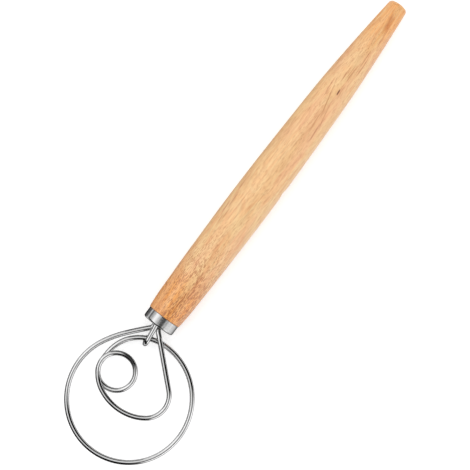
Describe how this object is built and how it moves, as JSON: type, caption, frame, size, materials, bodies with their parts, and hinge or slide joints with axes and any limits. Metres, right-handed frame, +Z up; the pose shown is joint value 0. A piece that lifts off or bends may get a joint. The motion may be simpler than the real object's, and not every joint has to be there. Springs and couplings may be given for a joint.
{
  "type": "dough whisk",
  "caption": "Wooden-handled dough whisk: a steel wire bent into an outer ring, a centre loop and a teardrop, held by a hook and a ferrule.",
  "frame": {"origin": "on the table under the middle of the whole, as it lies with the handle's axis level", "axes": "+X along the handle's axis from the whisk head to the handle's end, +Y across the head, +Z up and square to the ring"},
  "size_m": [0.3402, 0.082, 0.0268],
  "materials": {
    "handle_wood": "satin",
    "ferrule_steel": "satin",
    "wire_steel": "polished",
    "adhesive": "gloss"
  },
  "bodies": {
    "root": {"handle": "handle_wood", "ferrule": "ferrule_steel", "whisk_wire": "wire_steel", "hook_wire": "wire_steel", "bore_adhesive": "adhesive"}
  },
  "joints": []
}
